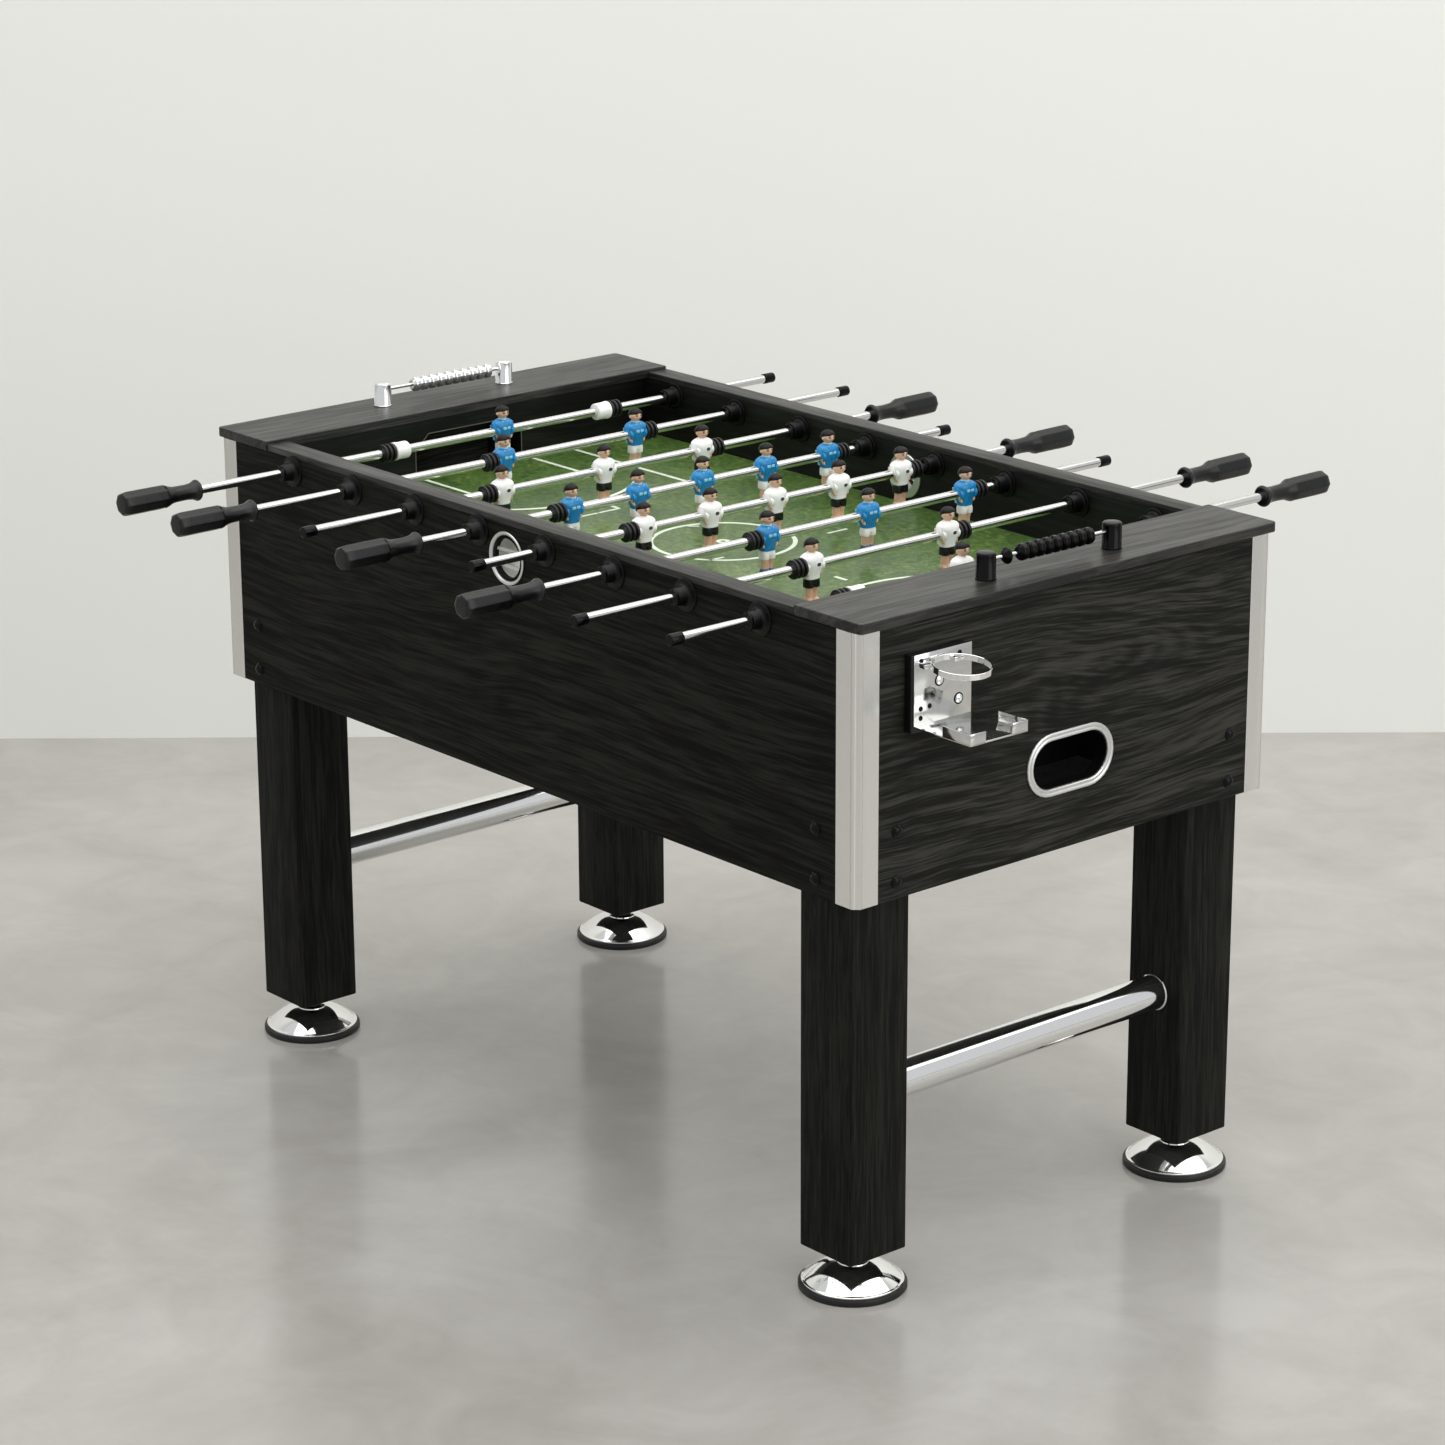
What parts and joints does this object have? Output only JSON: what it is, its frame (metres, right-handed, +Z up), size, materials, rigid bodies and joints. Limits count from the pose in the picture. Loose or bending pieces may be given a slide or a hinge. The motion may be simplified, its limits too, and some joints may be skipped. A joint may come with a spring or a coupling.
{
  "type": "foosball table",
  "caption": "Free-standing table football game with through rods carrying player figures, handles, bead scorers, ball returns, cup holders and levelling feet.",
  "frame": {"origin": "on the floor under the centre of the playfield", "axes": "+X along the table's length, +Y across it and along the playing rods, +Z up"},
  "size_m": [1.588, 1.3294, 0.9536],
  "materials": {
    "black_laminate": "satin wood-grain laminate",
    "charcoal_board": "semi-matt wood-grain laminate",
    "bare_board": "plain fibreboard",
    "green_field": "printed grass film",
    "black_plastic": "smooth moulded",
    "black_rubber": "satin",
    "black_steel": "black coated",
    "chrome": "polished",
    "satin_aluminium": "satin extruded",
    "silver_plastic": "metallised",
    "team_blue": "painted moulded",
    "team_white": "painted moulded"
  },
  "bodies": {
    "table": {"side_panels": "black_laminate", "end_panels": "black_laminate", "legs": "black_laminate", "inner_rails": "black_laminate", "top_boards": "charcoal_board", "goal_walls": "black_laminate", "playfield": "green_field", "base_board": "bare_board", "inner_blocks": "bare_board", "ball_chutes": "black_plastic", "corner_trims": "satin_aluminium", "leg_bolts": "black_steel", "stretchers": "chrome", "leveller_pads": "black_rubber", "leveller_domes": "chrome", "bearing_housings": "black_plastic", "return_bezels": "silver_plastic", "serve_cups": "silver_plastic", "scorer_frames": "black_plastic", "cup_brackets": "chrome", "cup_rings": "chrome"},
    "rod1_bearings": {"rod1_bushes": "black_plastic"},
    "rod1": {"rod1_tube": "chrome", "rod1_men": "team_blue", "rod1_fittings": "black_rubber"},
    "rod2_bearings": {"rod2_bushes": "black_plastic"},
    "rod2": {"rod2_tube": "chrome", "rod2_men": "team_blue", "rod2_fittings": "black_rubber"},
    "rod3_bearings": {"rod3_bushes": "black_plastic"},
    "rod3": {"rod3_tube": "chrome", "rod3_men": "team_white", "rod3_fittings": "black_rubber"},
    "rod4_bearings": {"rod4_bushes": "black_plastic"},
    "rod4": {"rod4_tube": "chrome", "rod4_men": "team_blue", "rod4_fittings": "black_rubber"},
    "rod5_bearings": {"rod5_bushes": "black_plastic"},
    "rod5": {"rod5_tube": "chrome", "rod5_men": "team_white", "rod5_fittings": "black_rubber"},
    "rod6_bearings": {"rod6_bushes": "black_plastic"},
    "rod6": {"rod6_tube": "chrome", "rod6_men": "team_blue", "rod6_fittings": "black_rubber"},
    "rod7_bearings": {"rod7_bushes": "black_plastic"},
    "rod7": {"rod7_tube": "chrome", "rod7_men": "team_white", "rod7_fittings": "black_rubber"},
    "rod8_bearings": {"rod8_bushes": "black_plastic"},
    "rod8": {"rod8_tube": "chrome", "rod8_men": "team_white", "rod8_fittings": "black_rubber"},
    "foot_screw_front_right": {"foot_stud_front_right": "chrome"},
    "foot_screw_back_right": {"foot_stud_back_right": "chrome"},
    "foot_screw_front_left": {"foot_stud_front_left": "chrome"},
    "foot_screw_back_left": {"foot_stud_back_left": "chrome"},
    "first_bead": {"scorer_right_first_bead": "black_plastic"},
    "right_beads": {"scorer_right_beads": "black_plastic"},
    "left_beads": {"scorer_left_beads": "chrome"}
  },
  "joints": [
    {"name": "rod1_spin", "type": "hinge", "parent": "table", "child": "rod1_bearings", "pos_m": [-0.5005, 0, 0.8872], "axis": [0, 1, 0], "continuous": true},
    {"name": "rod1_slide", "type": "slide", "parent": "rod1_bearings", "child": "rod1", "axis": [0, 1, 0], "range_m": [-0.0936, 0.0856]},
    {"name": "rod2_spin", "type": "hinge", "parent": "table", "child": "rod2_bearings", "pos_m": [-0.3575, 0, 0.8872], "axis": [0, 1, 0], "continuous": true},
    {"name": "rod2_slide", "type": "slide", "parent": "rod2_bearings", "child": "rod2", "axis": [0, 1, 0], "range_m": [-0.1441, 0.1356]},
    {"name": "rod3_spin", "type": "hinge", "parent": "table", "child": "rod3_bearings", "pos_m": [-0.2145, 0, 0.8872], "axis": [0, 1, 0], "continuous": true},
    {"name": "rod3_slide", "type": "slide", "parent": "rod3_bearings", "child": "rod3", "axis": [0, 1, 0], "range_m": [-0.0556, 0.1296]},
    {"name": "rod4_spin", "type": "hinge", "parent": "table", "child": "rod4_bearings", "pos_m": [-0.0715, 0, 0.8872], "axis": [0, 1, 0], "continuous": true},
    {"name": "rod4_slide", "type": "slide", "parent": "rod4_bearings", "child": "rod4", "axis": [0, 1, 0], "range_m": [-0.0636, 0.0156]},
    {"name": "rod5_spin", "type": "hinge", "parent": "table", "child": "rod5_bearings", "pos_m": [0.0715, 0, 0.8872], "axis": [0, 1, 0], "continuous": true},
    {"name": "rod5_slide", "type": "slide", "parent": "rod5_bearings", "child": "rod5", "axis": [0, 1, 0], "range_m": [-0.0726, 0.0066]},
    {"name": "rod6_spin", "type": "hinge", "parent": "table", "child": "rod6_bearings", "pos_m": [0.2145, 0, 0.8872], "axis": [0, 1, 0], "continuous": true},
    {"name": "rod6_slide", "type": "slide", "parent": "rod6_bearings", "child": "rod6", "axis": [0, 1, 0], "range_m": [-0.125, 0.0186]},
    {"name": "rod7_spin", "type": "hinge", "parent": "table", "child": "rod7_bearings", "pos_m": [0.3575, 0, 0.8872], "axis": [0, 1, 0], "continuous": true},
    {"name": "rod7_slide", "type": "slide", "parent": "rod7_bearings", "child": "rod7", "axis": [0, 1, 0], "range_m": [-0.1176, 0.1391]},
    {"name": "rod8_spin", "type": "hinge", "parent": "table", "child": "rod8_bearings", "pos_m": [0.5005, 0, 0.8872], "axis": [0, 1, 0], "continuous": true},
    {"name": "rod8_slide", "type": "slide", "parent": "rod8_bearings", "child": "rod8", "axis": [0, 1, 0], "range_m": [-0.0656, 0.1047]},
    {"name": "foot_turn_front_right", "type": "hinge", "parent": "table", "child": "foot_screw_front_right", "pos_m": [0.6013, -0.3, 0.045], "axis": [0, 0, 1], "continuous": true},
    {"name": "foot_turn_back_right", "type": "hinge", "parent": "table", "child": "foot_screw_back_right", "pos_m": [0.6013, 0.3, 0.045], "axis": [0, 0, 1], "continuous": true},
    {"name": "foot_turn_front_left", "type": "hinge", "parent": "table", "child": "foot_screw_front_left", "pos_m": [-0.6013, -0.3, 0.045], "axis": [0, 0, 1], "continuous": true},
    {"name": "foot_turn_back_left", "type": "hinge", "parent": "table", "child": "foot_screw_back_left", "pos_m": [-0.6013, 0.3, 0.045], "axis": [0, 0, 1], "continuous": true},
    {"name": "first_bead_slide", "type": "slide", "parent": "table", "child": "first_bead", "axis": [0, 1, 0], "range_m": [-0.0144, 0.0063]},
    {"name": "right_beads_slide", "type": "slide", "parent": "table", "child": "right_beads", "axis": [0, 1, 0], "range_m": [-0.0063, 0.0233]},
    {"name": "left_beads_slide", "type": "slide", "parent": "table", "child": "left_beads", "axis": [0, 1, 0], "range_m": [-0.0383, 0.012]}
  ]
}
